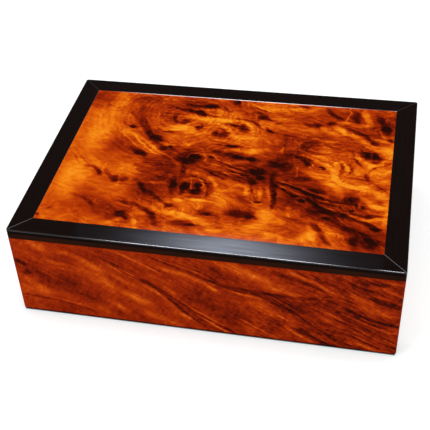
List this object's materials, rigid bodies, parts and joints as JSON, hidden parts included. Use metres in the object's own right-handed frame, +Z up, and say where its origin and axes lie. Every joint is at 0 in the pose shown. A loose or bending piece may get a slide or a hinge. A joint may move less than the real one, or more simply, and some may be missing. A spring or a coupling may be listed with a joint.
{
  "type": "hinged lid box",
  "caption": "Low rectangular wooden box with a flush hinged lid: burl panel framed by dark mitred strips, straight mitred walls, brass stop hinges at the back.",
  "frame": {"origin": "centre of the walls' plan on the flat surface the box stands on, which is the underside of the baize", "axes": "+X along the length to the right as seen from the front, +Y from the front to the hinged back, +Z up"},
  "size_m": [0.24, 0.1766, 0.07],
  "materials": {
    "thuya": "clear lacquer, satin gloss",
    "thuya_burl": "clear lacquer, gloss",
    "ebonised": "black stain under clear lacquer, gloss",
    "dark_board": "dark brown stain, satin",
    "pale_wood": "bare, sanded",
    "green_baize": "felted wool",
    "lining_felt": "felted wool",
    "hinge_brass": "drawn, lightly polished",
    "pin_brass": "turned"
  },
  "bodies": {
    "box": {"front_wall": "thuya", "right_wall": "thuya", "back_wall": "thuya", "left_wall": "thuya", "corner_splines": "pale_wood", "base_panel": "pale_wood", "underside_baize": "green_baize", "floor_lining": "lining_felt", "left_hinge_wall_leaf": "hinge_brass", "left_hinge_pin": "pin_brass", "left_hinge_wall_screws": "pin_brass", "right_hinge_wall_leaf": "hinge_brass", "right_hinge_pin": "pin_brass", "right_hinge_wall_screws": "pin_brass"},
    "lid": {"lid_board": "dark_board", "front_lid_strip": "ebonised", "right_lid_strip": "ebonised", "back_lid_strip": "ebonised", "left_lid_strip": "ebonised", "lid_burl_panel": "thuya_burl", "front_lid_batten": "pale_wood", "right_lid_batten": "pale_wood", "back_lid_batten": "pale_wood", "left_lid_batten": "pale_wood", "left_hinge_lid_leaf": "hinge_brass", "left_hinge_lid_screws": "pin_brass", "right_hinge_lid_leaf": "hinge_brass", "right_hinge_lid_screws": "pin_brass"}
  },
  "joints": [
    {"name": "lid_hinge", "type": "hinge", "parent": "box", "child": "lid", "pos_m": [0, 0.0885, 0.063], "axis": [-1, 0, 0], "range_deg": [0, 95]}
  ]
}
